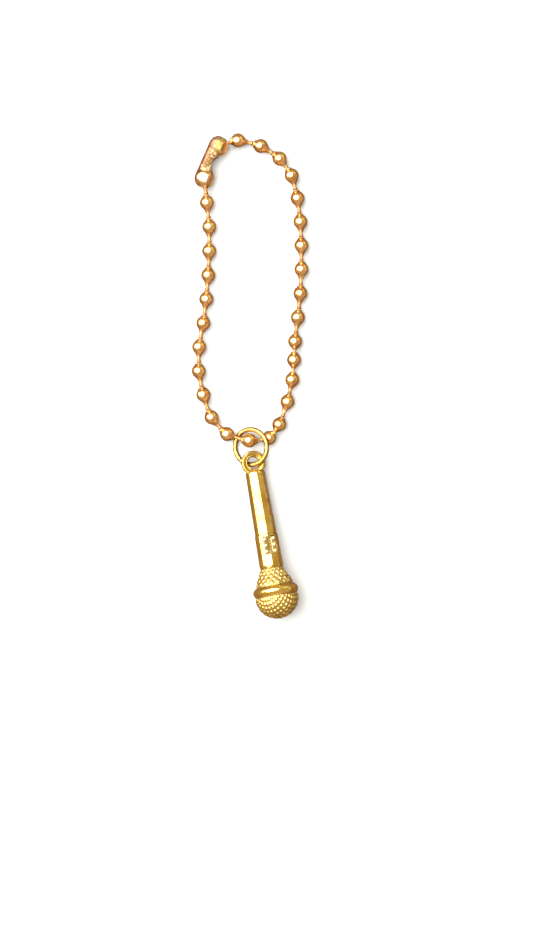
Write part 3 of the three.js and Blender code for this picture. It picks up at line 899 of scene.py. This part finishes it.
def build_chain(gold, link_gold):
    """Every bead and link, each on its CAD body: first the bead in the ring, then both sides from
    there to the clasp, then the stub and the bead in the clasp's upper cup."""
    number = "chain_{:02d}".format
    along = np.array([math.cos(clasp_heading), math.sin(clasp_heading), 0])
    upper_cup = hinge_of["clasp"] + clasp.cup_spacing * along
    towards_first = range(ring_bead_number - 1, 0, -1)
    towards_last = range(ring_bead_number + 1, last_bead_number + 1)
    ring_bead = hinge_of[number(ring_bead_number)]
    centres = {i: bead_centre(number(i), hinge_of[number(i)]) for i in (*towards_first, *towards_last)}
    centres[ring_bead_number] = ring_bead

    def bead_piece(name, i, node, body, own_way, next_way, before, after):
        here = upper_cup if i is None else centres[i]
        reaches = [
            lip_reach(lip.ring_reach if i in beside_ring else lip.near_reach,
                      np.linalg.norm(before - here)),
            lip_reach(lip.far_reach, np.linalg.norm(after - here)),
        ]
        shell = bead_mesh(name, here, own_way, next_way, reaches, seed=i or last_bead_number + 1)
        add_piece(name, shell, body, [node], gold)

    ways = [unit(hinge_of[number(i)] - ring_bead) for i in beside_ring]
    neighbours = [centres[i] for i in beside_ring]
    name = number(ring_bead_number)
    bead_piece(f"bead_{ring_bead_number:02d}", ring_bead_number, name, name, *ways, *neighbours)
    for side in (towards_first, towards_last):
        back = ring_bead_number
        for i, after in zip(side, [*side[1:], None]):
            name, centre = number(i), centres[i]
            hinge = hinge_of[name]
            own = unit(centre - hinge)
            if after is None:
                ahead = upper_cup
                next_way = hole_way(own, ahead - centre)
            else:
                ahead = centres[after]
                next_way = unit(hinge_of[number(after)] - centre)
            bead_piece(f"bead_{i:02d}", i, name, name, -own, next_way, centres[back], ahead)
            collar_radius = link.ring_collar if i in beside_ring else link.collar
            pin = dumbbell_mesh(f"link_{i:02d}", hinge, own, np.linalg.norm(centre - hinge), collar_radius)
            add_piece(f"link_{i:02d}", pin, name, [name], link_gold)
            back = i
    name, last = number(towards_first[-1]), centres[towards_first[-1]]
    into = unit(upper_cup - last)
    length = np.linalg.norm(upper_cup - last) - bead.radius - 2 * fit - stub_start
    end = stub_mesh("end_link", last + stub_start * into, into, length)
    add_piece("end_link", end, name, [name], link_gold)
    bead_piece("clasp_bead_look", None, "clasp_bead", "clasp", -into, into, upper_cup, last)


# ---------- clasp ----------

def clasp_radius(y, phi):
    """The outside of the stamped clasp, from its axis, at a station and an angle from the open side."""
    cos, sin = np.cos(phi), np.sin(phi)
    power = clasp.squareness
    square = (abs(cos / clasp.cup) ** power + abs(sin / clasp.height) ** power) ** (-1 / power)
    best = np.zeros_like(phi)
    for centre in (0, clasp.cup_spacing):
        scale = np.sqrt(np.clip(1 - ((y - centre) / clasp.cup) ** 2, 0, 1))
        best = soft_most(best, scale * square, clasp.press_round)
    offset = clasp.waist - clasp.cup
    channel = offset * cos + np.sqrt(np.clip(clasp.waist ** 2 - (offset * sin) ** 2, 0, None))
    # The channel fades out inside each cup.
    from_lower, from_upper = y, clasp.cup_spacing - y
    in_range = smooth_step(-0.6, 0.3, from_lower) * smooth_step(-0.6, 0.3, from_upper)
    best = soft_most(best, channel * in_range, clasp.press_round)
    # Flats are pressed on the top and on both slopes; the least cosine keeps them finite elsewhere.
    least = 0.05
    top = clasp.top_plane / np.maximum(abs(sin), least)
    side = clasp.side_plane / np.maximum(np.cos(abs(phi) - math.pi / 4), least)
    return soft_least(soft_least(best, top, clasp.top_round), side, clasp.side_round)


def clasp_opening(y):
    """Half the angle left open at a station: the slot, the waist notch and the holes at the ends."""
    cup_reach = np.zeros_like(y)
    for centre in (0, clasp.cup_spacing):
        inside = np.sqrt(np.clip(clasp.cup ** 2 - (y - centre) ** 2, 0, None))
        cup_reach = np.maximum(cup_reach, inside)
    in_channel = (y > 0) & (y < clasp.cup_spacing)
    reach = np.maximum(cup_reach, np.where(in_channel, clasp.waist, 0.02))
    slot = np.arcsin(np.clip(clasp.slot / 2 / reach, 0, 1))
    from_waist = abs(y - clasp.cup_spacing / 2)
    edge = clasp.notch + fit - np.sqrt(np.clip(clasp.notch ** 2 - from_waist ** 2, 0, None))
    notch = np.arccos(np.clip(edge / (clasp.waist + fit), -1, 1))
    notch = np.where(from_waist < clasp.notch, notch, 0)
    end = math.pi * smooth_step(clasp.end_hole_flare, clasp.end_hole, cup_reach) * ~in_channel
    sides = soft_most(slot, notch, clasp.slot_round)
    return np.minimum(soft_most(sides, end, clasp.slot_round), math.pi)


def round_axis(radius, y, phi):
    """Points about the clasp's axis, by distance, station and angle from the open side."""
    return np.stack([radius * np.cos(phi), y[:, None] + 0 * phi, radius * np.sin(phi)], axis=-1)


def clasp_mesh():
    """Sheet metal pressed into two bead cups and a waist, slotted along one side."""
    cup_rows, channel_rows, columns = 26, 90, 73
    low = -clasp.cup * np.cos(np.linspace(clasp.end_row, rad(88), cup_rows))
    between = np.linspace(0, clasp.cup_spacing, channel_rows)
    y = np.concatenate([low, between, clasp.cup_spacing - low[::-1]])
    opening = clasp_opening(y)
    opening[[0, -1]] = math.pi
    share = np.linspace(0, 1, columns)
    phi = opening[:, None] + (2 * math.pi - 2 * opening)[:, None] * share[None, :]
    turned_back = np.where(phi > math.pi, phi - 2 * math.pi, phi)
    radius = clasp_radius(y[:, None] + 0 * phi, turned_back)
    outer = round_axis(radius, y, phi)
    along = np.gradient(radius, y, axis=0)
    lean_in = np.clip(along, -clasp.steepest, clasp.steepest)
    outward = np.stack([np.cos(phi), -lean_in, np.sin(phi)], axis=-1)
    outward /= np.linalg.norm(outward, axis=-1, keepdims=True)
    inner = outer - outward * clasp.wall
    middle = (outer + inner) / 2
    past_edge = np.stack([np.sin(phi), 0 * phi, -np.cos(phi)], axis=-1) * clasp.edge_round
    first, last = middle[:, :1] + past_edge[:, :1], middle[:, -1:] - past_edge[:, -1:]
    points = np.concatenate([outer, last, inner[:, ::-1], first], axis=1)
    sheet = grid_mesh("clasp", points)
    above = 3.0  # well clear of the clasp
    drill = lathe_about_z([(0, 0), (clasp.pin_hole, 0), (clasp.pin_hole, above), (0, above)], 20)
    drill = grid_mesh("drill", drill + np.array([0.0, clasp.pin_hole_along, 0]))
    return combined(sheet, drill, "DIFFERENCE")


# ---------- stage, camera and light ----------

def build_stage(middle):
    """A plain pale table. Polished gold sees it darker, as a table in a dim room."""
    size = 3.0
    mesh = bpy.data.meshes.new("table")
    corners = [(-size, -size, 0), (size, -size, 0), (size, size, 0), (-size, size, 0)]
    mesh.from_pydata(corners, [], [(0, 1, 2, 3)])
    table = bpy.data.objects.new("table", mesh)
    bpy.context.scene.collection.objects.link(table)
    clear_of_object = 0.02 * MM
    table.location = (middle.x, middle.y, -clear_of_object)
    material = bpy.data.materials.new("table")
    material.use_nodes = True
    tree = material.node_tree
    shader = tree.nodes["Principled BSDF"]
    glossy = add_node(tree, "ShaderNodeLightPath").outputs["Is Glossy Ray"]
    colour = mixed(tree, glossy, (0.56, 0.557, 0.55), (0.13, 0.09, 0.055))
    tree.links.new(colour, shader.inputs["Base Color"])
    shader.inputs["Roughness"].default_value = 0.8
    shader.inputs["Specular IOR Level"].default_value = 0.1
    mesh.materials.append(material)


def softbox(name, middle, way, distance, size, radiance, colour, shape="RECTANGLE"):
    """A flat light that faces the object."""
    way = Vector(way).normalized()
    data = bpy.data.lights.new(name, "AREA")
    data.shape = shape
    data.size, data.size_y = size
    area = size[0] * size[1] * (math.pi / 4 if shape == "ELLIPSE" else 1)
    data.energy = radiance * math.pi * area
    data.color = colour
    lamp = bpy.data.objects.new(name, data)
    bpy.context.scene.collection.objects.link(lamp)
    lamp.location = middle + way * distance
    lamp.rotation_mode = "QUATERNION"
    lamp.rotation_quaternion = way.to_track_quat("Z", "Y")


def build_light(middle):
    white, warm = (1.0, 0.99, 0.96), (1.0, 0.90, 0.72)
    softbox("overhead", middle, (-0.36, 0.17, 0.92), 0.60, (0.92, 0.84), 8.0, white, "ELLIPSE")
    softbox("window", middle, (-0.90, 0.18, 0.42), 0.60, (0.40, 0.20), 6.0, white)
    softbox("low_fill", middle, (0.95, -0.1, 0.14), 0.70, (0.40, 0.12), 0.4, warm)
    softbox("green_card", middle, (0.62, 0.55, 0.40), 0.50, (0.26, 0.20), 0.9, (0.80, 0.95, 0.10))
    world = bpy.data.worlds.new("room")
    bpy.context.scene.world = world
    world.use_nodes = True
    tree = world.node_tree
    way = add_node(tree, "ShaderNodeTexCoord").outputs["Generated"]
    height = add_node(tree, "ShaderNodeSeparateXYZ", {"Vector": way}).outputs["Z"]
    room = ramp(tree, height, [(0.0, (0.60, 0.50, 0.40)), (0.75, (0.64, 0.54, 0.42))])
    glossy = add_node(tree, "ShaderNodeLightPath").outputs["Is Glossy Ray"]
    colour = mixed(tree, glossy, (0.30, 0.30, 0.295), room)
    tree.links.new(colour, tree.nodes["Background"].inputs["Color"])


def build_camera(middle):
    """Straight down on the table. The object fills the middle of a tall picture, a little high."""
    covered = 161.2 * MM
    height = 400 * MM
    right, down = 2.8 * MM, 16.7 * MM
    data = bpy.data.cameras.new("camera")
    data.lens = data.sensor_width * (height - bead.radius * MM) / covered
    data.clip_start = 0.01
    camera = bpy.data.objects.new("camera", data)
    bpy.context.scene.collection.objects.link(camera)
    camera.location = Vector((middle.x + right, middle.y - down, height))
    bpy.context.scene.camera = camera


# ---------- the whole charm ----------

middle = (cad_box[0] + cad_box[1]) / 2
middle.z = 0
build_camera(middle)
build_stage(middle)
build_light(middle)
bpy.context.scene.view_settings.view_transform = "Standard"

chain_gold = metal("chain_gold", (0.91, 0.55, 0.23), (0.73, 0.35, 0.12), (1.0, 0.74, 0.42), (0.14, 0.26),
                   tone=cone_tone)
link_gold = metal("link_gold", (0.48, 0.24, 0.085), (0.38, 0.16, 0.05), (0.62, 0.38, 0.18), (0.46, 0.60))
clasp_gold = metal("clasp_gold", (0.88, 0.54, 0.28), (0.68, 0.34, 0.14), (1.0, 0.80, 0.55), (0.16, 0.34),
                   tone=clasp_tone)
ring_gold = metal("ring_gold", (0.52, 0.33, 0.075), (0.38, 0.22, 0.045), (0.78, 0.58, 0.28), (0.22, 0.36))
mic_gold = metal("microphone_gold", (0.88, 0.60, 0.15), (0.68, 0.42, 0.08), (1.0, 0.84, 0.42),
                 (0.07, 0.15), stretch=(1, 0.12, 1), mottle=2.4, tone=eye_tone)
# The grille's and the switch plate's hollows get painted shade from raised_tone; the switch plate's is the
# deeper.
grille_gold = metal("grille_gold", (0.76, 0.51, 0.14), (0.55, 0.34, 0.08), (1.0, 0.86, 0.48),
                    (0.18, 0.32), tone=raised_tone(0.4))
switch_gold = metal("switch_gold", (0.82, 0.56, 0.16), (0.60, 0.38, 0.10), (1.0, 0.90, 0.60),
                    (0.14, 0.26), tone=raised_tone(0.85))
inner_brass = metal("inner_brass", (0.62, 0.43, 0.13), (0.45, 0.28, 0.07), (0.8, 0.62, 0.3),
                    (0.40, 0.60), stretch=(1, 0.1, 1), coordinates=frame_coordinates)

build_microphone(microphone_place(), mic_gold, switch_gold, grille_gold, inner_brass)
add_piece("jump_ring_look", ring_mesh(), "jump_ring", ["jump_ring"], ring_gold, ring_place())
build_chain(chain_gold, link_gold)
add_piece("clasp_look", clasp_mesh(), "clasp", ["clasp"], clasp_gold, clasp_place())
